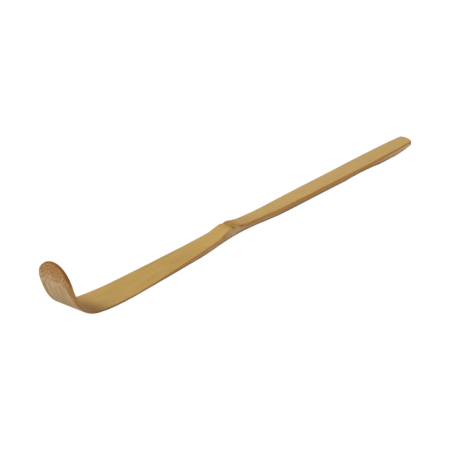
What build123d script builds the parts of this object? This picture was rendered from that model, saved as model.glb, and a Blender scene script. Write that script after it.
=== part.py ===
"""Bamboo tea scoop: one strip of culm with its node, bent up at the tip and carved to shape.

The strip lies along X with the paddle at -X, rests on z = 0, and its skin side faces up.
Its near side is at -Y and its far side at +Y. All sizes are in millimetres.
"""
import os
from math import atan2, cos, degrees, pi, radians, sin

from build123d import *

# Overall length, from the back of the paddle to the tail
length = 180.0

# Upturned tip: three tangent arcs of the underside, from the heel to the end of the paddle
heel_radius = 150.0
heel_angle = 6.0
bend_radius = 14.0
bend_angle = 54.8
paddle_radius = 27.5
paddle_angle = 26.6

# Rounded end of the paddle: the length that rounds off on each side, and the bevel round its back
near_round = 7.0
far_round = 6.2
end_bevel_inset = 0.32

# Places along the strip, measured in X from the back of the paddle unless they say otherwise
blade_at = 47.0
shoulder_at = 64.0
node_at = 79.8
arch_at = 82.0
waist_at = 89.0
root_at = 105.0
tail_rest_from_end = 13.5

# Widths of the skin face
paddle_width = 12.7
bend_width = 12.3
heel_width = 11.2
blade_width = 9.4
shoulder_width = 7.35
waist_width = 5.0
root_width = 5.8
handle_width = 6.3
tail_width = 5.4

# Thicknesses, from the underside to the edge of the skin face
paddle_thickness = 0.88
heel_thickness = 0.92
blade_thickness = 1.45
shoulder_thickness = 2.1
waist_thickness = 2.3
root_thickness = 2.45
handle_thickness = 2.35
tail_thickness = 2.8

# Cross-section: the skin's crown, the arris along each side, the bevel under it and the softened edge
skin_crown = 0.15
arris_share = 0.5
bevel_inset = 0.4
edge_radius = 0.15

# Node: the arch of the strip, the swelling of the skin and the groove of the sheath scar
arch_rise = 0.87
arch_half_length = 23.0
swelling_rise = 0.95
swelling_half_length = 8.0
scar_depth = 0.4
scar_width = 2.4

# Knife cuts on the near side of the node, in front of the groove and behind it
front_cut_at = 75.7
front_cut_length = 7.2
rear_cut_at = 82.0
rear_cut_length = 3.2
cut_depth = 0.54

# Underside and tail
rest_depth = 0.08
root_lift = 0.1
handle_lift = 0.24
scallop_length = 24.0
scallop_depth = 0.6
scallop_from_end = 32.0
tail_bevel_length = 11.5
tail_bevel_rise = 0.95
near_corner_radius = 3.1
far_corner_radius = 1.4

# Room that the cutting shapes have beyond the strip, and spacing of its cross-sections
spare = 3.0
section_step = 3.0

tip_x = -length / 2
tail_rest_at = length - tail_rest_from_end
handle_at = (root_at + tail_rest_at) / 2


def bell(distance, half_length):
    """Height of a smooth hump, 1 at its middle and 0 from its half length outwards."""
    if abs(distance) >= half_length:
        return 0.0
    return cos(pi / 2 * distance / half_length) ** 2


def between(start, end, share):
    """Value a share of the way from start to end."""
    return start + (end - start) * share


def along(stations, at):
    """Value at a place on a smooth curve through (place, value) stations."""
    places, values = zip(*stations)
    last = len(places) - 1
    slopes = []
    for i in range(last + 1):
        before = max(i - 1, 0)
        after = min(i + 1, last)
        slopes.append((values[after] - values[before]) / (places[after] - places[before]))
    i = max(n for n in range(last) if places[n] <= at or n == 0)
    span = places[i + 1] - places[i]
    t = (at - places[i]) / span
    start = values[i] + slopes[i] * span * t
    end = values[i + 1] - slopes[i + 1] * span * (1 - t)
    return between(start, end, t * t * (3 - 2 * t))


def section(plane, width, thickness):
    """Carved cross-section of the strip, standing on the underside at the plane's origin."""
    half = width / 2
    arris = thickness * arris_share
    foot = half - bevel_inset
    with BuildSketch(plane) as sketch:
        with BuildLine():
            under = [(-half, arris), (-foot, 0), (foot, 0), (half, arris)]
            Polyline((-half, thickness), *under, (half, thickness))
            ThreePointArc((half, thickness), (0, thickness + skin_crown), (-half, thickness))
        make_face()
        fillet(sketch.vertices().group_by(Axis.Y)[-1], radius=edge_radius)
    return sketch.sketch


# Underside line of the tip, drawn from the heel to the end of the paddle
turned = 0.0
heel_at = 0.0
for radius, angle in [(heel_radius, heel_angle), (bend_radius, bend_angle), (paddle_radius, paddle_angle)]:
    heel_at += radius * (sin(radians(turned + angle)) - sin(radians(turned)))
    turned += angle

with BuildLine(Plane.XZ) as underside:
    heel_arc = JernArc((tip_x + heel_at, -rest_depth), (-1, 0), heel_radius, -heel_angle)
    bend_arc = JernArc(heel_arc @ 1, heel_arc % 1, bend_radius, -bend_angle)
    paddle_arc = JernArc(bend_arc @ 1, bend_arc % 1, paddle_radius, -paddle_angle)
tip_line = underside.wires()[0]

# Cross-sections of the tip, from just past the end of the paddle back to the heel
tip_widths = [(0.0, heel_width), (0.5, bend_width), (1.0, paddle_width)]
tip_count = round(tip_line.length / section_step)
sections = []
for step in range(tip_count):
    share = 1 - step / tip_count
    plane = Plane(origin=tip_line @ share, x_dir=(0, 1, 0), z_dir=-(tip_line % share))
    width = along(tip_widths, share)
    thickness = between(heel_thickness, paddle_thickness, share)
    if step == 0:
        sections.append(section(plane.offset(-spare), width, thickness))
    sections.append(section(plane, width, thickness))

# Cross-sections of the blade, the node and the handle, from the heel to the tail
widths = [
    (heel_at, heel_width),
    (blade_at, blade_width),
    (shoulder_at, shoulder_width),
    (waist_at, waist_width),
    (root_at, root_width),
    (handle_at, handle_width),
    (tail_rest_at, handle_width),
    (length, tail_width),
]
thicknesses = [
    (heel_at, heel_thickness),
    (blade_at, blade_thickness),
    (shoulder_at, shoulder_thickness),
    (waist_at, waist_thickness),
    (root_at, root_thickness),
    (handle_at, handle_thickness),
    (tail_rest_at, tail_thickness),
    (length, tail_thickness),
]
lifts = [
    (heel_at, -rest_depth),
    (blade_at, -rest_depth),
    (root_at, root_lift),
    (handle_at, handle_lift),
    (tail_rest_at, -rest_depth),
    (length, -rest_depth),
]


def lift_at(at):
    """Height of the underside, which arches under the node."""
    return along(lifts, at) + arch_rise * bell(at - arch_at, arch_half_length)


def thickness_at(at):
    """Thickness of the strip, which swells at the node."""
    return along(thicknesses, at) + swelling_rise * bell(at - node_at, swelling_half_length)


level_count = round((length - heel_at) / section_step)
for step in range(level_count + 1):
    at = between(heel_at, length, step / level_count)
    plane = Plane(origin=(tip_x + at, 0, lift_at(at)), x_dir=(0, 1, 0), z_dir=(1, 0, 0))
    sections.append(section(plane, along(widths, at), thickness_at(at)))

# Plane of the paddle's face at its rounded end
tip_end = tip_line @ 1
round_start = tip_line @ (1 - near_round / tip_line.length)
end_plane = Plane(origin=tip_end, x_dir=(0, 1, 0), z_dir=Vector(0, 1, 0).cross(tip_end - round_start))

# Block that leaves the end of the paddle as an uneven half ellipse, smaller towards its back
paddle_arris = paddle_thickness * arris_share
with BuildPart() as end_cutter:
    for round_length, side in [(near_round, Align.MAX), (far_round, Align.MIN)]:
        half_width = along(tip_widths, 1 - round_length / tip_line.length) / 2
        with BuildSketch(end_plane.offset(-spare)):
            with Locations((0, -round_length)):
                Rectangle(paddle_width, round_length + 2 * spare, align=(side, Align.MIN))
        extrude(amount=2 * spare)
        for height, inset in [(-paddle_arris, 2 * end_bevel_inset), (paddle_arris, 0), (spare, 0)]:
            with BuildSketch(end_plane.offset(height)):
                with Locations((0, -round_length)):
                    Ellipse(half_width - inset, round_length - inset)
                    Rectangle(paddle_width, round_length, align=(side, Align.MIN), mode=Mode.INTERSECT)
        loft(ruled=True, mode=Mode.SUBTRACT)

# Cylinders that cut the node's groove and the scallop under the handle
scar_radius = (scar_width**2 / 4 + scar_depth**2) / (2 * scar_depth)
scar_floor = lift_at(node_at) + thickness_at(node_at) - scar_depth
scallop_radius = (scallop_length**2 / 4 + scallop_depth**2) / (2 * scallop_depth)

with BuildPart() as scoop:
    # Bent and tapered strip
    loft(sections)

    # Rounded end of the paddle
    add(end_cutter.part, mode=Mode.SUBTRACT)

    # Groove of the sheath scar across the skin
    with Locations((tip_x + node_at, 0, scar_floor + scar_radius)):
        Cylinder(scar_radius, 2 * shoulder_width, rotation=(90, 0, 0), mode=Mode.SUBTRACT)

    # Knife cuts beside the groove, which lean in from the arris to the edge of the skin
    for cut_at, cut_length in [(front_cut_at, front_cut_length), (rear_cut_at, rear_cut_length)]:
        cut_radius = (cut_length**2 / 4 + cut_depth**2) / (2 * cut_depth)
        lean = atan2(cut_depth, thickness_at(cut_at) * (1 - arris_share))
        edge_y = cut_depth - along(widths, cut_at) / 2
        edge_z = lift_at(cut_at) + thickness_at(cut_at)
        with Locations((tip_x + cut_at, edge_y - cut_radius * cos(lean), edge_z + cut_radius * sin(lean))):
            Cylinder(cut_radius, 2 * cut_radius, rotation=(-degrees(lean), 0, 0), mode=Mode.SUBTRACT)

    # Scallop under the handle
    with Locations((tip_x + length - scallop_from_end, 0, scallop_depth - scallop_radius)):
        Cylinder(scallop_radius, 2 * handle_width, rotation=(90, 0, 0), mode=Mode.SUBTRACT)

    # Bevel under the tail
    with BuildSketch(Plane.XZ):
        with BuildLine():
            slope = tail_bevel_rise / tail_bevel_length
            Polyline(
                (tip_x + length - tail_bevel_length, 0),
                (tip_x + length + spare, slope * (tail_bevel_length + spare)),
                (tip_x + length + spare, -spare),
                (tip_x + length - tail_bevel_length, -spare),
                close=True,
            )
        make_face()
    extrude(amount=handle_width, both=True, mode=Mode.SUBTRACT)

    # Rounded corners of the tail, also uneven
    for radius, side in [(near_corner_radius, -1), (far_corner_radius, 1)]:
        with BuildSketch(Plane.XY):
            with Locations((tip_x + length - radius, side * (handle_width / 2 - radius))):
                Rectangle(2 * length, 2 * length, align=(Align.MIN, Align.MIN if side > 0 else Align.MAX))
                Circle(radius, mode=Mode.SUBTRACT)
        extrude(amount=2 * spare, both=True, mode=Mode.SUBTRACT)

    # Flats rubbed on the underside, where the scoop rests
    split(bisect_by=Plane.XY, keep=Keep.TOP)

scoop.part.label = "bamboo_scoop"
os.makedirs("parts", exist_ok=True)
export_step(scoop.part, "parts/bamboo_scoop.step")
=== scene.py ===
"""Looks of the bamboo tea scoop: one carved strip, modelled over its CAD solid, on a pale floor."""
from functools import reduce
from math import cos, pi, radians, sin

import bpy
import numpy as np
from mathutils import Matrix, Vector, kdtree


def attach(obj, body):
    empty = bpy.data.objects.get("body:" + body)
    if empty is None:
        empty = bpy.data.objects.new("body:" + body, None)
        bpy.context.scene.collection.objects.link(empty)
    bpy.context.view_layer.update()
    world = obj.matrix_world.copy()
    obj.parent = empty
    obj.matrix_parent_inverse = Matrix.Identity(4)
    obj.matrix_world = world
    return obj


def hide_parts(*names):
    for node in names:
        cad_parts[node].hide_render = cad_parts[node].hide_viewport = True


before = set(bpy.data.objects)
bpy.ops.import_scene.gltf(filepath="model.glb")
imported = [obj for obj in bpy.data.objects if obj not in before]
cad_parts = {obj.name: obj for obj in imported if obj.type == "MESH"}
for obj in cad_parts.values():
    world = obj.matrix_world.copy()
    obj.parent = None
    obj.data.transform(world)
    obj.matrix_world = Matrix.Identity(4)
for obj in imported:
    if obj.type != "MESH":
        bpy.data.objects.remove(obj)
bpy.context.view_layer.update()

# The strip is worked out in millimetres, and its points are made in metres
MM = 0.001

# Overall length, and the arcs of the tip's underside (radius, degrees) from the heel to the paddle's end
LENGTH = 180.0
ARCS = [(150.0, 6.0), (14.0, 54.8), (27.5, 26.6)]

# Places along the strip, measured in X from the back of the paddle unless they say otherwise
BLADE_AT = 47.0
SHOULDER_AT = 64.0
NODE_AT = 79.8
ARCH_AT = 82.0
WAIST_AT = 89.0
ROOT_AT = 105.0
TAIL_REST_FROM_END = 13.5

# Widths and thicknesses with names of their own; the lists below hold the rest
HEEL_WIDTH = 11.2
HANDLE_WIDTH = 6.3
HEEL_THICKNESS = 0.92
PADDLE_THICKNESS = 0.88
TAIL_THICKNESS = 2.8

# Cross-section: the skin's crown, the arris along each side, the bevel under it and the softened edge
SKIN_CROWN = 0.15
ARRIS_SHARE = 0.5
BEVEL_INSET = 0.4
EDGE_RADIUS = 0.15

# Depth of the flats that are rubbed on the underside where the scoop rests
REST_DEPTH = 0.08

# Node: the arch of the strip and the swelling of the skin
ARCH_RISE, ARCH_HALF_LENGTH = 0.87, 23.0
SWELLING_RISE, SWELLING_HALF_LENGTH = 0.95, 8.0

# Groove of the node: its bends (from y, to y, distance) and wave, its depth in the middle and what its ends
# add to that (from y, to y), and its half widths towards the paddle and the tail
GROOVE_AT = 79.45
GROOVE_NEAR_BEND = (-1.2, -2.8, 0.3)
GROOVE_FAR_BEND = (0.5, 3.0, 0.45)
GROOVE_WAVE_RISE, GROOVE_WAVE_RATE, GROOVE_WAVE_START = 0.08, 1.7, 0.6
GROOVE_DEPTH, GROOVE_END_DEPTH = 0.17, 0.2
GROOVE_NEAR_END, GROOVE_FAR_END = (0.0, -2.4), (0.6, 2.6)
GROOVE_FRONT, GROOVE_REAR = 0.5, 0.8

# Slanting line behind the groove, and the raised band that starts and ends at distances from the two
REAR_AT, REAR_SLANT, REAR_DEPTH, REAR_HALF_WIDTH = 83.4, 0.36, 0.06, 0.35
BAND_RISE, BAND_START, BAND_END = 0.03, (0.3, 1.6), (-0.6, 0.1)

# Tip: the length that rounds off on each side of its end, the lean of the end, the radius of its edges, the
# wider bevel along its near side and the belly under the bend. A pair says from where to where they come in.
NEAR_ROUND, FAR_ROUND = 7.0, 6.2
END_LEAN = 0.13
TIP_EDGE_RADIUS, TIP_EDGE_RUNS = 0.08, (0.0, 30.0)
TIP_BEVEL_INSET, TIP_BEVEL_RUNS, TIP_BEVEL_SIDES = 1.1, (17.0, 11.0), (1.0, -3.0)
BELLY_DEPTH, BELLY_AT, BELLY_HALF_LENGTH = 0.08, 9.0, 7.0

# Tail: each corner's length along the strip, its reach across the end and the power of its curve, the bevel
# under the tail, and the scallop under the handle
NEAR_CORNER = (1.8, 4.4, 1.7)
FAR_CORNER = (1.4, 1.4, 2.0)
TAIL_BEVEL_LENGTH, TAIL_BEVEL_RISE, TAIL_BEVEL_CURVE = 11.5, 1.45, 2.1
SCALLOP_AT, SCALLOP_LENGTH, SCALLOP_DEPTH, SCALLOP_EASE = 148.3, 21.5, 0.62, 0.05

# Mesh: turns in degrees round the two ends, and spacing of the cross-sections, which are closer at the node
PADDLE_TURNS, TAIL_TURNS = np.arange(2.0, 90.0, 2.5), np.arange(0.0, 90.0, 5.0)
CLOSE_FROM, CLOSE_TO = 72.0, 87.0
BLADE_STEP, NODE_STEP, HANDLE_STEP = 0.4, 0.15, 0.5

# Columns across the strip, which draw together where it is narrow, rows of points in the walls as shares of
# their height, and spacing of the outline that distances are measured from
EDGE_OFFSETS = np.array([0.0, 0.02, 0.05, 0.09, 0.14, 0.2, 0.28, 0.4, 0.55, 0.75])
NARROW_WIDTH = 3.0
INNER_COLUMNS = 22
WALL_SHARES = np.arange(1, 6) / 6
OUTLINE_STEP = 0.03

tip_length = sum(radius * radians(angle) for radius, angle in ARCS)
heel_at = 0.0
turned = 0.0
for radius, angle in ARCS:
    heel_at += radius * (sin(radians(turned + angle)) - sin(radians(turned)))
    turned += angle
tip_end = heel_at - tip_length
tail_rest_at = LENGTH - TAIL_REST_FROM_END
handle_at = (ROOT_AT + tail_rest_at) / 2

# Widths of the tip by share of its length, and widths, thicknesses and lifts of the level strip by place
TIP_WIDTHS = [(0.0, HEEL_WIDTH), (0.5, 12.3), (1.0, 12.7)]
WIDTHS = [
    (heel_at, HEEL_WIDTH),
    (BLADE_AT, 9.4),
    (SHOULDER_AT, 7.35),
    (WAIST_AT, 5.0),
    (ROOT_AT, 5.8),
    (handle_at, HANDLE_WIDTH),
    (tail_rest_at, HANDLE_WIDTH),
    (LENGTH, 5.4),
]
THICKNESSES = [
    (heel_at, HEEL_THICKNESS),
    (BLADE_AT, 1.45),
    (SHOULDER_AT, 2.1),
    (WAIST_AT, 2.3),
    (ROOT_AT, 2.45),
    (handle_at, 2.35),
    (tail_rest_at, TAIL_THICKNESS),
    (LENGTH, TAIL_THICKNESS),
]
LIFTS = [
    (heel_at, -REST_DEPTH),
    (BLADE_AT, -REST_DEPTH),
    (ROOT_AT, 0.1),
    (handle_at, 0.24),
    (tail_rest_at, -REST_DEPTH),
    (LENGTH, -REST_DEPTH),
]

# How far the knife has cut the skin's near edge back from the flank, in front of the groove and behind it
FLANKS = [
    (tip_end, 0.0),
    (SHOULDER_AT, 0.03),
    (71.3, 0.08),
    (74.4, 0.38),
    (76.7, 0.53),
    (78.1, 0.36),
    (79.1, 0.02),
    (80.9, 0.12),
    (82.2, 0.45),
    (83.5, 0.02),
    (90.0, 0.0),
    (LENGTH, 0.0),
]


def bell(distance, half_length):
    """Smooth hump, 1 at its middle and 0 from its half length outwards."""
    share = np.clip(np.abs(distance) / half_length, 0, 1)
    return np.cos(pi / 2 * share) ** 2


def smooth(low, high, value):
    """Smooth step from 0 at low to 1 at high."""
    share = np.clip((value - low) / (high - low), 0, 1)
    return share * share * (3 - 2 * share)


def along(stations, at):
    """Values at many places on a smooth curve through (place, value) stations."""
    places, values = (np.array(column) for column in zip(*stations))
    last = len(places) - 1
    before = np.maximum(np.arange(last + 1) - 1, 0)
    after = np.minimum(np.arange(last + 1) + 1, last)
    slopes = (values[after] - values[before]) / (places[after] - places[before])
    i = np.clip(np.searchsorted(places, at, side="right") - 1, 0, last - 1)
    span = places[i + 1] - places[i]
    share = (at - places[i]) / span
    start = values[i] + slopes[i] * span * share
    end = values[i + 1] - slopes[i + 1] * span * (1 - share)
    return start + (end - start) * share * share * (3 - 2 * share)


# The strip is measured by its run, in millimetres along the underside: equal to the distance in X from the
# back of the paddle on the level part, and going on round the bend to the end of the paddle.


def spine(run):
    """Origins and upward normals (x, z) of the underside line at many runs."""
    level = np.maximum(run, heel_at)
    x = level - LENGTH / 2
    z = along(LIFTS, level) + ARCH_RISE * bell(level - ARCH_AT, ARCH_HALF_LENGTH)
    nx, nz = np.zeros_like(run), np.ones_like(run)
    px, pz, start, turned = heel_at - LENGTH / 2, -REST_DEPTH, 0.0, 0.0
    beyond = heel_at - run
    slack = 1e-6
    for radius, angle in ARCS:
        arc = radius * radians(angle)
        inside = (beyond > start) & (beyond <= start + arc + slack)
        turn = turned + (beyond - start) / radius
        x = np.where(inside, px - radius * (np.sin(turn) - sin(turned)), x)
        z = np.where(inside, pz + radius * (cos(turned) - np.cos(turn)), z)
        nx = np.where(inside, np.sin(turn), nx)
        nz = np.where(inside, np.cos(turn), nz)
        end = turned + radians(angle)
        px -= radius * (sin(end) - sin(turned))
        pz += radius * (cos(turned) - cos(end))
        start, turned = start + arc, end
    return x, z, nx, nz


def tip_share(run):
    """Share of the way from the heel to the end of the paddle."""
    return np.clip((heel_at - run) / tip_length, 0, 1)


def thickness_of(run):
    """Thickness from the underside to the edge of the skin, which swells at the node."""
    level = along(THICKNESSES, np.maximum(run, heel_at))
    level = level + SWELLING_RISE * bell(run - NODE_AT, SWELLING_HALF_LENGTH)
    tip = HEEL_THICKNESS + (PADDLE_THICKNESS - HEEL_THICKNESS) * tip_share(run)
    return np.where(run >= heel_at, level, tip)


def half_width_of(run):
    """Half of the strip's width, before its ends are rounded."""
    level = along(WIDTHS, np.maximum(run, heel_at))
    return np.where(run >= heel_at, level, along(TIP_WIDTHS, tip_share(run))) / 2


def soft_half_width(run):
    """Half width with the small corner at the heel eased, as the loft eases it."""
    reach, samples = 3.0, 13
    offsets = np.linspace(-reach, reach, samples)
    inner = np.clip(run[:, None] + offsets[None, :], tip_end, LENGTH)
    weights = bell(offsets, reach)
    return (half_width_of(inner) * weights).sum(1) / weights.sum()


def edges_of(run):
    """Near (-Y) and far (+Y) edge of the strip at many runs, rounded off at both ends."""
    half = soft_half_width(run)
    from_end = run - tip_end
    sides = []
    for round_length, corner in [(NEAR_ROUND, NEAR_CORNER), (FAR_ROUND, FAR_CORNER)]:
        ellipse = np.sqrt(np.clip(1 - (1 - np.minimum(from_end / round_length, 1)) ** 2, 0, 1))
        start_half = soft_half_width(np.array([tip_end + round_length]))[0]
        edge = np.where(from_end < round_length, start_half * ellipse, half)
        corner_length, reach, power = corner
        into = np.clip(run - (LENGTH - corner_length), 0, corner_length) / corner_length
        rounded = HANDLE_WIDTH / 2 - reach + reach * (1 - into**power) ** (1 / power)
        sides.append(np.where(into > 0, np.minimum(edge, rounded), edge))
    return sides


def run_stations():
    """Runs of the cross-sections: close together at both ends and at the node."""
    corner_length = NEAR_CORNER[0]
    return np.unique(np.concatenate([
        tip_end + NEAR_ROUND * (1 - np.cos(np.radians(PADDLE_TURNS))),
        np.arange(tip_end + NEAR_ROUND, CLOSE_FROM, BLADE_STEP),
        np.arange(CLOSE_FROM, CLOSE_TO, NODE_STEP),
        np.arange(CLOSE_TO, LENGTH - corner_length, HANDLE_STEP),
        LENGTH - corner_length * (1 - np.cos(np.radians(TAIL_TURNS))),
    ]))


def across(near, far):
    """Places across the strip from the near edge to the far edge, close together at both edges."""
    offsets = EDGE_OFFSETS[None, :] * np.minimum(1, (far + near) / NARROW_WIDTH)[:, None]
    inner = np.linspace(0, 1, INNER_COLUMNS + 2)[1:-1]
    left = -near[:, None] + offsets
    right = far[:, None] - offsets[:, ::-1]
    middle = left[:, -1:] + (right[:, :1] - left[:, -1:]) * inner[None, :]
    return np.concatenate([left, middle, right], axis=1)


def edge_distance(run, near, far, grid):
    """Distance of every grid point from the outline of the strip, in its own surface."""
    ring = np.concatenate([np.stack([run, -near], 1), np.stack([run, far], 1)[::-1]])
    ring = np.concatenate([ring, ring[:1]])
    outline = []
    for a, b in zip(ring[:-1], ring[1:]):
        pieces = max(1, int(np.linalg.norm(b - a) / OUTLINE_STEP))
        outline.append(a + (b - a) * (np.arange(pieces) / pieces)[:, None])
    outline = np.concatenate(outline)
    tree = kdtree.KDTree(len(outline))
    for i, point in enumerate(outline):
        tree.insert((point[0], point[1], 0), i)
    tree.balance()
    distance = np.empty_like(grid)
    for i in range(grid.shape[0]):
        for j in range(grid.shape[1]):
            distance[i, j] = tree.find((run[i], grid[i, j], 0))[2]
    distance[:, 0] = 0
    distance[:, -1] = 0
    return distance


def flank_of(run):
    """How far the skin's near edge is cut back at many runs."""
    return np.maximum(along(FLANKS, run), 0)


def groove_place(y):
    """Run of the groove, which bends to the paddle at the near edge and to the tail at the far edge."""
    near_start, near_end, near_bend = GROOVE_NEAR_BEND
    far_start, far_end, far_bend = GROOVE_FAR_BEND
    bend = far_bend * smooth(far_start, far_end, y) - near_bend * smooth(near_start, near_end, y)
    return GROOVE_AT + bend + GROOVE_WAVE_RISE * np.sin(GROOVE_WAVE_RATE * y + GROOVE_WAVE_START)


def skin_height(run, thickness, half, y):
    """Height of the skin above the underside line, before its edges are softened."""
    height = thickness[:, None] + SKIN_CROWN * (1 - (y / half[:, None]) ** 2)
    from_groove = run[:, None] - groove_place(y)
    from_rear = run[:, None] - (REAR_AT + REAR_SLANT * y)
    ends = smooth(*GROOVE_NEAR_END, y) + smooth(*GROOVE_FAR_END, y)
    groove = np.exp(-((from_groove / np.where(from_groove < 0, GROOVE_FRONT, GROOVE_REAR)) ** 2))
    height = height - (GROOVE_DEPTH + GROOVE_END_DEPTH * ends) * groove
    height = height + BAND_RISE * smooth(*BAND_START, from_groove) * (1 - smooth(*BAND_END, from_rear))
    return height - REAR_DEPTH * np.exp(-((from_rear / REAR_HALF_WIDTH) ** 2))


def underside_floor(run):
    """Height below which the underside is cut away: rest flats, scallop and tail bevel."""
    scallop_radius = (SCALLOP_LENGTH**2 / 4 + SCALLOP_DEPTH**2) / (2 * SCALLOP_DEPTH)
    reach = np.clip(scallop_radius**2 - (run - SCALLOP_AT) ** 2, 0, None)
    scallop = SCALLOP_DEPTH - scallop_radius + np.sqrt(reach)
    scallop = (scallop + np.sqrt(scallop**2 + SCALLOP_EASE**2)) / 2
    bevel_share = np.clip((run - LENGTH) / TAIL_BEVEL_LENGTH + 1, 0, 1)
    bevel = TAIL_BEVEL_RISE * bevel_share**TAIL_BEVEL_CURVE
    return np.where(run >= heel_at, np.maximum(scallop, bevel), 0)


def softened(skin, rim, run):
    """Height of the skin with its edges rounded off, by less at the thin tip."""
    radius = (TIP_EDGE_RADIUS + (EDGE_RADIUS - TIP_EDGE_RADIUS) * smooth(*TIP_EDGE_RUNS, run))[:, None]
    into = np.clip(radius - rim, 0, radius)
    return skin - (radius - np.sqrt(radius**2 - into**2))


def underside(run, y, rim, thickness, z, nz):
    """Height of the underside above its line: bevels along the edges, belly under the bend and the cuts."""
    arris = thickness[:, None] * ARRIS_SHARE
    wide = smooth(*TIP_BEVEL_RUNS, run)[:, None] * smooth(*TIP_BEVEL_SIDES, y)
    inset = BEVEL_INSET + (TIP_BEVEL_INSET - BEVEL_INSET) * wide
    height = arris * np.maximum(1 - rim / inset, 0) ** (1 + wide)
    height = height - BELLY_DEPTH * bell(run - BELLY_AT, BELLY_HALF_LENGTH)[:, None]

    # The cuts are level, and the part of the tip that stands upright has none
    least_upward, uncut = 0.2, -5.0
    cut = (underside_floor(run) - z) / np.maximum(nz, least_upward)
    cut = np.where(nz > least_upward, cut, uncut)[:, None]
    return np.maximum(height, np.minimum(cut, arris))


def all_points(upper, lower):
    """Values of every point of the strip, from grids of its skin side and underside.

    Closed loops round the strip come first: skin, far wall, underside and near wall. The inner points of the
    two end faces follow, in lines between the skin and the underside.
    """
    far_wall = upper[:, [-1]] + (lower[:, [-1]] - upper[:, [-1]]) * WALL_SHARES
    near_wall = upper[:, [0]] + (lower[:, [0]] - upper[:, [0]]) * WALL_SHARES
    loops = np.concatenate([upper, far_wall, lower[:, ::-1], near_wall[:, ::-1]], 1)
    ends = [upper[i] + (lower[i] - upper[i]) * WALL_SHARES[:, None] for i in (0, -1)]
    return np.concatenate([loops.ravel()] + [end[:, 1:-1].ravel() for end in ends])


def loop_faces(rows, size):
    """Faces between the closed loops, turned outwards."""
    here = np.arange(size)
    after = np.roll(here, -1)
    faces = []
    for start in range(0, (rows - 1) * size, size):
        ring = [start + here, start + size + here, start + size + after, start + after]
        faces.extend(np.stack(ring, 1).tolist())
    return faces


def end_faces(base, first_inner, columns, size):
    """Faces of one end, as a grid from the skin to the underside, turned towards the tip.

    The loop at this end starts with point number base, and the end's inner points with first_inner.
    """
    walls = len(WALL_SHARES)
    lines = [[base + j for j in range(columns)]]
    for w in range(walls):
        start = first_inner + w * (columns - 2)
        inner = list(range(start, start + columns - 2))
        lines.append([base + size - 1 - w] + inner + [base + columns + w])
    lines.append([base + columns + walls + columns - 1 - j for j in range(columns)])
    faces = []
    for upper, lower in zip(lines[:-1], lines[1:]):
        for j in range(columns - 1):
            faces.append((upper[j], upper[j + 1], lower[j + 1], lower[j]))
    return faces


def strip_mesh(points, faces, grain, depth_share, rim):
    """Smooth mesh of the strip, with grain coordinates, depth share and rim distance on every point."""
    mesh = bpy.data.meshes.new("scoop_strip")
    mesh.from_pydata(points.tolist(), [], faces)
    attribute = mesh.attributes.new("grain", "FLOAT_VECTOR", "POINT")
    attribute.data.foreach_set("vector", grain.astype(np.float32).ravel())
    for name, values in [("depth_share", depth_share), ("rim", rim)]:
        attribute = mesh.attributes.new(name, "FLOAT", "POINT")
        attribute.data.foreach_set("value", values.astype(np.float32))
    mesh.polygons.foreach_set("use_smooth", [True] * len(mesh.polygons))
    mesh.validate()
    mesh.update()
    return mesh


def build_strip():
    """The carved strip as one closed quad mesh."""
    run = run_stations()
    near, far = edges_of(run)
    thickness = thickness_of(run)
    half = soft_half_width(run)
    x, z, nx, nz = spine(run)

    # Skin side, whose near edge the knife has cut back, and underside
    top_near = near - np.minimum(flank_of(run), near / 2)
    top_y, bottom_y = across(top_near, far), across(near, far)
    top_rim = edge_distance(run, top_near, far, top_y)
    bottom_rim = edge_distance(run, near, far, bottom_y)
    skin = skin_height(run, thickness, half, top_y)
    top = softened(skin, top_rim, run)
    bottom = underside(run, bottom_y, bottom_rim, thickness, z, nz)

    # Points, each on the cross-section of its row, with the paddle's end leaning
    rows, columns = top.shape
    size = 2 * (columns + len(WALL_SHARES))
    inner_count = len(WALL_SHARES) * (columns - 2)
    row_of = np.repeat(np.concatenate([np.arange(rows), [0, rows - 1]]), [size] * rows + [inner_count] * 2)
    y = all_points(top_y, bottom_y)
    height = all_points(top, bottom)
    lean = (END_LEAN * smooth(NEAR_ROUND, 0, run - tip_end))[row_of] * height
    points = np.stack([
        x[row_of] + nx[row_of] * height - nz[row_of] * lean,
        y,
        z[row_of] + nz[row_of] * height + nx[row_of] * lean,
    ], 1) * MM

    # Faces round the strip and at its two ends
    loop_count = rows * size
    tip_faces = end_faces(0, loop_count, columns, size)
    tail_faces = end_faces(loop_count - size, loop_count + inner_count, columns, size)
    faces = loop_faces(rows, size) + tip_faces + [face[::-1] for face in tail_faces]

    # Depth below the uncut skin, which on the end faces is the skin at their upper edge
    surface = all_points(skin, skin_height(run, thickness, half, bottom_y))
    surface[loop_count:] = all_points(skin, skin)[loop_count:]
    depth = np.maximum(surface - height, 0)
    rim = all_points(top_rim, bottom_rim)
    rim[loop_count:] = 0
    grain = np.stack([run[row_of], y, depth], 1)
    mesh = strip_mesh(points, faces, grain, depth / thickness[row_of], rim)
    strip = bpy.data.objects.new("scoop_strip", mesh)
    bpy.context.scene.collection.objects.link(strip)
    return strip


def srgb(red, green, blue):
    """Linear colour of an 8-bit sRGB one."""
    shares = [value / 255 for value in (red, green, blue)]
    return [v / 12.92 if v <= 0.04045 else ((v + 0.055) / 1.055) ** 2.4 for v in shares] + [1.0]


# Colours of the skin. A pair is mixed by the fibres or the flames of its place.
BLADE_SKIN = srgb(165, 129, 65), srgb(186, 153, 86)
HANDLE_SKIN = srgb(179, 144, 82), srgb(195, 162, 100)
FLECKED_SKIN = srgb(172, 126, 62)
PALE_SKIN = srgb(200, 167, 98)
WARM_SKIN = srgb(176, 130, 72)
# Painted highlight along the edges of the handle
SKIN_EDGE_HIGHLIGHT = srgb(212, 166, 100)
# Painted shade inside the bend: a warm shade tint, then scorch that is partly painted shade
BEND_SHADE_TINT = srgb(160, 116, 43)
SCORCH_AND_SHADE = srgb(124, 76, 30)

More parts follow.
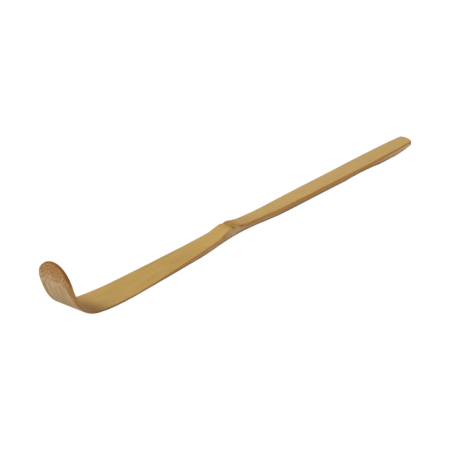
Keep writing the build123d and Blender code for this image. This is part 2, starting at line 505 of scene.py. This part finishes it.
# Colours of the node
NODE_SKIN = srgb(172, 130, 62)
NODE_BAND = srgb(148, 105, 42), srgb(168, 126, 59)
# Painted light on the end of the band
BAND_END_LIGHT = srgb(196, 152, 72)
# Scar line and painted shade of the groove
GROOVE_SCAR_AND_SHADE = srgb(112, 72, 32)
REAR_LINE = srgb(130, 88, 42)
# Painted shadow under the step at the end of the line behind the groove
NOTCH_SHADOW = srgb(122, 80, 42)

# Colours of the outer fibres and the flesh along the sides
CORTEX = srgb(176, 121, 61), srgb(197, 145, 83)
BROWNED_CORTEX = srgb(116, 74, 32), srgb(142, 96, 46)
DARK_CORTEX = srgb(118, 70, 28)
FLESH = srgb(200, 164, 122), srgb(174, 132, 90)
TAIL_FLESH = srgb(216, 178, 130)
NODE_FLESH = srgb(214, 178, 134)
# Painted shade along the lower edge of the sides
LOWER_EDGE_SHADE = srgb(112, 78, 54)

# Colours of the tip's back
BACK = srgb(203, 173, 130), srgb(172, 138, 95)
HIGH_BACK = srgb(177, 133, 81), srgb(139, 96, 51)
LOW_RIM = srgb(190, 142, 82), srgb(156, 106, 52)
HIGH_RIM = srgb(174, 121, 60), srgb(138, 89, 38)
ARCH_LINE = srgb(150, 102, 54)
ARCH_FILL = srgb(162, 113, 54)


class Graph:
    """Short calls that add nodes to one node tree and join them."""

    def __init__(self, tree):
        self.tree = tree

    def put(self, socket, value):
        """Joins a socket to another one, or sets it to a constant."""
        if isinstance(value, bpy.types.NodeSocket):
            self.tree.links.new(value, socket)
        else:
            socket.default_value = value

    def node(self, kind, inputs, **settings):
        """A new node with its settings and inputs."""
        made = self.tree.nodes.new(kind)
        for name, value in settings.items():
            setattr(made, name, value)
        for name, value in inputs.items():
            self.put(made.inputs[name], value)
        return made

    def math(self, operation, *values):
        """Result of a math node."""
        return self.node("ShaderNodeMath", dict(enumerate(values)), operation=operation).outputs[0]

    def plus(self, *values):
        """Sum of two or more values."""
        return reduce(lambda total, value: self.math("ADD", total, value), values)

    def times(self, *values):
        """Product of two or more values."""
        return reduce(lambda total, value: self.math("MULTIPLY", total, value), values)

    def minus(self, value, taken):
        """Difference of two values."""
        return self.math("SUBTRACT", value, taken)

    def step(self, value, low, high, start=0.0, end=1.0):
        """Smooth step of a value, from start at low to end at high."""
        inputs = {"Value": value, "From Min": low, "From Max": high, "To Min": start, "To Max": end}
        return self.node("ShaderNodeMapRange", inputs, interpolation_type="SMOOTHSTEP").outputs["Result"]

    def hump(self, value, middle, half_length):
        """1 at the middle, falling smoothly to 0 at half a length to each side."""
        return self.step(self.math("ABSOLUTE", self.minus(value, middle)), half_length, 0.0)

    def noise(self, vector, scale, detail):
        """Noise from 0 to 1 of a vector stretched by a scale on each axis."""
        stretched = self.node("ShaderNodeVectorMath", {0: vector, 1: scale}, operation="MULTIPLY")
        inputs = {"Vector": stretched.outputs[0], "Scale": 1.0, "Detail": detail}
        return self.node("ShaderNodeTexNoise", inputs).outputs["Fac"]

    def mix(self, share, first, second):
        """Colour that goes from the first to the second."""
        return self.node("ShaderNodeMix", {0: share, 6: first, 7: second}, data_type="RGBA").outputs[2]

    def paint(self, colour, cover, strength, tint):
        """Colour with a tint laid over it, as strong as it says where the cover is 1."""
        return self.mix(self.times(cover, strength), colour, tint)

    def seen(self):
        """1 for rays from the camera, off gloss and through glass, and 0 for those that light the scene."""
        rays = self.node("ShaderNodeLightPath", {}).outputs
        seen = self.math("MAXIMUM", rays["Is Camera Ray"], rays["Is Glossy Ray"])
        return self.math("MAXIMUM", seen, rays["Is Transmission Ray"])


class Bamboo(Graph):
    """Node graph of the bamboo, with the places on the strip and the fibres that its colours follow."""

    def __init__(self, tree):
        super().__init__(tree)
        self.grain = self.attribute("grain", "Vector")
        self.depth_share = self.attribute("depth_share", "Fac")
        self.rim = self.attribute("rim", "Fac")
        self.run, self.y, self.depth = self.node("ShaderNodeSeparateXYZ", {0: self.grain}).outputs
        self.from_end = self.minus(self.run, tip_end)
        self.fibres = self.noise(self.grain, (0.12, 6.5, 2.0), 3.0)
        self.dashes = self.noise(self.grain, (0.25, 3.5, 3.0), 2.0)
        self.warp = self.noise(self.grain, (0.05, 0.75, 0.5), 1.0)

    def attribute(self, name, output):
        """A value that the strip's mesh carries."""
        return self.node("ShaderNodeAttribute", {}, attribute_name=name).outputs[output]


# In the functions below, g is the bamboo's graph. A step or a hump of g.run says where along the strip, in
# millimetres, a colour comes in, and the number that follows it in g.paint says how strong the colour is.


def skin_colour(g):
    """Smooth skin: fibres, streaks, flecks, paler before the node; painted highlight on the handle's edges,
    scorch and painted shade in the bend.
    """
    streaks = g.noise(g.grain, (0.03, 1.8, 0.5), 2.0)
    clouds = g.noise(g.grain, (0.09, 0.35, 0.3), 2.0)
    flecks = g.noise(g.grain, (0.4, 2.6, 2.0), 3.0)
    weights = [(g.fibres, 0.4), (streaks, 0.15), (clouds, 0.25), (flecks, 0.2)]
    tone = g.step(g.plus(*[g.times(pattern, weight) for pattern, weight in weights]), 0.3, 0.7)
    skin = g.mix(g.step(g.run, 70.0, 110.0), g.mix(tone, *BLADE_SKIN), g.mix(tone, *HANDLE_SKIN))
    skin = g.mix(g.step(flecks, 0.52, 0.78, 0.0, 0.45), skin, FLECKED_SKIN)
    skin = g.paint(skin, g.hump(g.run, 71.0, 14.0), 0.3, PALE_SKIN)
    skin = g.paint(skin, g.hump(g.run, 87.0, 7.0), 0.3, WARM_SKIN)

    # Painted highlight: a paler line along the edges of the handle, where their rounding catches the light
    edge = g.times(g.step(g.rim, 0.4, 0.1), g.step(g.run, 100.0, 150.0))
    skin = g.paint(skin, edge, 0.5, SKIN_EDGE_HIGHLIGHT)

    # Bend: painted shade, warm and darker, on the way up to the paddle where the paddle shades it, then
    # scorch and painted shade where it turns
    bend_shade = g.times(g.step(g.run, 20.0, 14.0), g.step(g.run, -2.0, 6.0))
    skin = g.paint(skin, bend_shade, 0.5, BEND_SHADE_TINT)
    return g.paint(skin, g.hump(g.run, 10.5, 7.0), 0.5, SCORCH_AND_SHADE)


def node_colour(g, skin):
    """Node on the skin: a darker band between the groove, with its scar line and painted shade, and the line
    behind it; painted light at the band's end.
    """
    near_start, near_end, near_bend = GROOVE_NEAR_BEND
    far_start, far_end, far_bend = GROOVE_FAR_BEND
    near = g.step(g.y, near_start, near_end, 0.0, near_bend)
    far = g.step(g.y, far_start, far_end, 0.0, far_bend)
    wander = g.times(g.minus(g.noise(g.grain, (0.2, 0.8, 0.5), 2.0), 0.5), 0.5)
    from_groove = g.minus(g.plus(g.run, g.minus(near, far), wander), GROOVE_AT)
    from_rear = g.minus(g.plus(g.minus(g.run, g.times(g.y, REAR_SLANT)), wander), REAR_AT)
    skin = g.paint(skin, g.hump(from_groove, -0.4, 3.0), 0.75, NODE_SKIN)

    mottle = g.noise(g.grain, (0.5, 2.2, 0.6), 3.0)
    band = g.times(g.step(from_groove, -0.2, 0.5), g.step(from_rear, 0.15, -0.3))
    skin = g.paint(skin, band, 0.95, g.mix(g.step(mottle, 0.3, 0.7), *NODE_BAND))
    # Painted light on the band's end before the line behind it, whose slope turns away from the lamp behind
    # the paddle
    skin = g.paint(skin, g.hump(from_rear, -0.7, 0.9), 0.5, BAND_END_LIGHT)

    # Scar line and painted shade in the groove, stronger towards the near side
    darker_near = g.step(g.y, -0.4, -2.2, 0.35, 0.8)
    skin = g.paint(skin, g.hump(from_groove, 0.1, 0.6), darker_near, GROOVE_SCAR_AND_SHADE)
    return g.paint(skin, g.hump(from_rear, 0.05, 0.4), 0.45, REAR_LINE)


def cortex_colour(g):
    """Outer fibres that the knife has cut through along the sides, browned at the tip by heat."""
    lines = g.step(g.noise(g.grain, (0.05, 1.0, 5.0), 3.0), 0.32, 0.68)
    cortex = g.mix(g.step(g.run, -3.0, -8.5), g.mix(lines, *CORTEX), g.mix(lines, *BROWNED_CORTEX))
    return g.paint(cortex, g.hump(g.run, 20.0, 28.0), 0.65, DARK_CORTEX)


def flame_share(g):
    """Dark share of the flesh: bundles that wave as flames at the tip's end and run straight elsewhere."""
    flamed_length, flame_rate, flame_warp = 10.0, 0.058, 5.0
    climb = g.math("MAXIMUM", g.minus(flamed_length, g.from_end), 0.0)
    layers = g.plus(g.times(g.math("POWER", climb, 2.0), flame_rate), g.times(g.warp, flame_warp))
    waves = g.math("SINE", g.times(layers, 2 * pi))
    waves = g.times(waves, g.step(g.from_end, 6.0, 11.0, 0.26, 0.08))
    straight = g.minus(g.noise(g.grain, (0.05, 2.2, 0.6), 1.0), 0.5)
    straight = g.times(straight, g.step(g.from_end, 5.0, 10.0, 0.0, 1.5))
    return g.step(g.plus(waves, straight, g.dashes), 0.2, 0.85)


def back_colour(g, flames):
    """Back of the tip: pale flesh, browner towards its end and rim, with one long arch of brown fibres."""
    high = g.step(g.plus(g.from_end, g.times(g.warp, 6.0)), 11.0, 4.5)
    back = g.mix(high, g.mix(flames, *BACK), g.mix(flames, *HIGH_BACK))
    near_rim = g.times(g.step(g.rim, 1.15, 0.2), g.step(g.y, 3.0, -3.0))
    rim_share = g.math("MAXIMUM", g.times(near_rim, 0.85), g.step(g.rim, 0.7, 0.1, 0.0, 0.6))
    rim = g.mix(g.step(g.run, -1.0, -8.0), g.mix(flames, *LOW_RIM), g.mix(flames, *HIGH_RIM))
    back = g.mix(rim_share, back, rim)

    # Line of the arch, a parabola that opens towards the bend
    arch_top, arch_y, arch_curve = -8.24, -4.95, 1.56
    beside = g.minus(g.y, arch_y)
    arch = g.plus(g.times(beside, beside, -arch_curve), g.run, -arch_top)
    arch_line = g.times(g.hump(arch, 0.0, 1.7), g.step(g.run, 0.0, -4.0))
    back = g.paint(back, arch_line, 0.6, ARCH_LINE)

    # Brown lens inside the arch, a slanting ellipse
    lens_run, lens_y, lens_half_length, lens_half_width, lens_slant = -4.2, -5.0, 3.3, 0.95, 0.45
    lengthwise = g.math("DIVIDE", g.minus(g.run, lens_run), lens_half_length)
    sideways = g.plus(g.minus(g.y, lens_y), g.times(lengthwise, lens_slant))
    sideways = g.math("DIVIDE", sideways, lens_half_width)
    lens = g.plus(g.times(lengthwise, lengthwise), g.times(sideways, sideways))
    return g.mix(g.step(lens, 1.0, 0.4, 0.0, 0.8), back, ARCH_FILL)


def flesh_colour(g):
    """Pale flesh under the outer fibres, paler still at the tail and the node."""
    flames = flame_share(g)
    flesh = g.mix(flames, *FLESH)
    flesh = g.mix(g.step(g.run, 140.0, 172.0, 0.0, 0.6), flesh, TAIL_FLESH)
    flesh = g.paint(flesh, g.hump(g.run, 80.5, 6.0), 0.5, NODE_FLESH)
    return g.mix(g.step(g.run, 45.0, 12.0), flesh, back_colour(g, flames))


def side_colour(g):
    """Cut sides and underside: outer fibres and flesh under them, with painted shade along the lower edge
    and painted shadow under the notch.
    """
    # The flesh starts about half way down the sides of the handle, and only on the back of the thin tip
    flesh_from = g.minus(g.step(g.run, 10.0, 45.0, 0.84, 0.42), g.step(g.run, 148.0, 172.0, 0.0, 0.24))
    flesh_from = g.minus(flesh_from, g.times(g.hump(g.run, 68.0, 20.0), 0.17))
    flesh_from = g.plus(flesh_from, g.step(g.run, 176.5, 179.5, 0.0, 0.25))
    flesh_share = g.step(g.minus(g.depth_share, flesh_from), 0.0, 0.16)
    flesh_share = g.math("MAXIMUM", flesh_share, g.times(g.hump(g.run, 79.0, 10.0), 0.9))
    side = g.mix(flesh_share, cortex_colour(g), flesh_colour(g))

    # Painted shadow under the step where the line behind the groove reaches the side
    notch_shadow = g.times(g.hump(g.run, 83.3, 1.7), g.step(g.depth_share, 0.35, 0.12))
    side = g.paint(side, notch_shadow, 0.7, NOTCH_SHADOW)

    # Painted shade along the lower edge, where the underside turns down towards the floor; higher up on the
    # thin blade and in the scallop
    raised = g.plus(g.step(g.run, 75.0, 45.0, 0.0, 0.35), g.times(g.hump(g.run, 150.0, 14.0), 0.25))
    low = g.plus(g.depth_share, raised)
    lower_edge_shade = g.times(g.step(low, 0.62, 0.9), g.step(g.rim, 0.7, 0.2))
    lower_edge_shade = g.times(lower_edge_shade, g.step(g.run, 12.0, 20.0), g.step(g.run, 178.0, 168.0))
    strength = g.minus(0.6, g.times(g.hump(g.run, 70.0, 16.0), 0.3))
    return g.paint(side, lower_edge_shade, strength, LOWER_EDGE_SHADE)


def bamboo_material():
    """Smoked bamboo: streaked skin, orange-brown outer fibres and pale flesh with flamed bundles."""
    gloss, bump_strength, bump_depth = 0.12, 0.25, 0.05 * MM
    material = bpy.data.materials.new("bamboo")
    material.use_nodes = True
    g = Bamboo(material.node_tree)
    shader = material.node_tree.nodes["Principled BSDF"]

    skin = node_colour(g, skin_colour(g))
    below_skin = g.step(g.plus(g.depth, g.times(g.fibres, 0.06)), 0.09, 0.2)
    g.put(shader.inputs["Base Color"], g.mix(below_skin, skin, side_colour(g)))

    roughness = g.step(g.depth, 0.05, 0.3, 0.5, 0.65)
    g.put(shader.inputs["Roughness"], g.plus(roughness, g.times(g.minus(g.fibres, 0.5), 0.15)))
    shader.inputs["Specular IOR Level"].default_value = gloss
    relief = g.plus(g.times(g.fibres, 0.6), g.times(g.dashes, 0.4))
    bump = g.node("ShaderNodeBump", {"Strength": bump_strength, "Distance": bump_depth, "Height": relief})
    g.put(shader.inputs["Normal"], bump.outputs[0])
    return material


def aim(thing, place, target):
    """Sets a lamp or camera at a place, looking at a target."""
    thing.location = place
    thing.rotation_euler = (Vector(target) - Vector(place)).to_track_quat("-Z", "Y").to_euler()
    bpy.context.scene.collection.objects.link(thing)


strip = build_strip()
strip.data.materials.append(bamboo_material())
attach(strip, "root")
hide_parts("bamboo_scoop")

# Camera at the photograph's viewing angle: the picture's width and its scale at the place it looks at
PIXELS = 450
PIXELS_PER_MM = 3.1612
CAMERA_DISTANCE = 598.0
CAMERA_TARGET = (-11.9527, 0.0, 4.6219)
CLIP_START = 0.01
towards, down = radians(39.2274), radians(24.4276)
direction = Vector((cos(down) * cos(towards), cos(down) * sin(towards), -sin(down)))
target = Vector(CAMERA_TARGET) * MM
camera_data = bpy.data.cameras.new("camera")
camera_data.lens = camera_data.sensor_width * PIXELS_PER_MM * CAMERA_DISTANCE / PIXELS
camera_data.clip_start = CLIP_START
camera = bpy.data.objects.new("camera", camera_data)
aim(camera, target - direction * CAMERA_DISTANCE * MM, target)
bpy.context.scene.camera = camera

# Floor: pale, and white where the camera sees it out of the shadow
FLOOR_SIZE = 8.0
FLOOR_DROP = 0.03 * MM
FLOOR_COLOUR = (0.66, 0.66, 0.66, 1.0)
FLOOR_GLOW, FLOOR_GLOW_SHARE = 1.08, 0.9
WHITE = (1.0, 1.0, 1.0, 1.0)
bpy.ops.mesh.primitive_plane_add(size=FLOOR_SIZE, location=(0, 0, -FLOOR_DROP))
floor = bpy.context.object
floor.name = "floor"
floor_material = bpy.data.materials.new("floor")
floor_material.use_nodes = True
floor_nodes = floor_material.node_tree.nodes
floor_nodes.remove(floor_nodes["Principled BSDF"])
graph = Graph(floor_material.node_tree)
lit = graph.node("ShaderNodeBsdfDiffuse", {"Color": FLOOR_COLOUR})
glow = graph.node("ShaderNodeEmission", {"Color": WHITE, "Strength": FLOOR_GLOW})
glow_share = graph.times(graph.seen(), FLOOR_GLOW_SHARE)
blend = graph.node("ShaderNodeMixShader", {0: glow_share, 1: lit.outputs[0], 2: glow.outputs[0]})
graph.put(floor_nodes["Material Output"].inputs["Surface"], blend.outputs[0])
floor.data.materials.append(floor_material)

# Surroundings: white to the camera, and an even light on the scoop
SURROUND_LIGHT, SURROUND_SEEN = 0.34, 1.0
world = bpy.data.worlds.new("world")
bpy.context.scene.world = world
world.use_nodes = True
graph = Graph(world.node_tree)
levels = {"Value": graph.seen(), "To Min": SURROUND_LIGHT, "To Max": SURROUND_SEEN}
background = world.node_tree.nodes["Background"]
background.inputs["Color"].default_value = WHITE
graph.put(background.inputs["Strength"], graph.node("ShaderNodeMapRange", levels).outputs[0])

# Lamps (name, size, energy, place): a soft one behind the paddle and a weak one on the near side
LAMPS = [("key", 0.4, 11.0, (-0.78, 0.29, 0.88)), ("fill", 0.8, 4.0, (0.25, -1.0, 0.7))]
for name, lamp_size, energy, place in LAMPS:
    lamp = bpy.data.lights.new(name, "AREA")
    lamp.shape = "DISK"
    lamp.size = lamp_size
    lamp.energy = energy
    aim(bpy.data.objects.new(name, lamp), place, (0, 0, 0))

bpy.context.scene.view_settings.view_transform = "Standard"
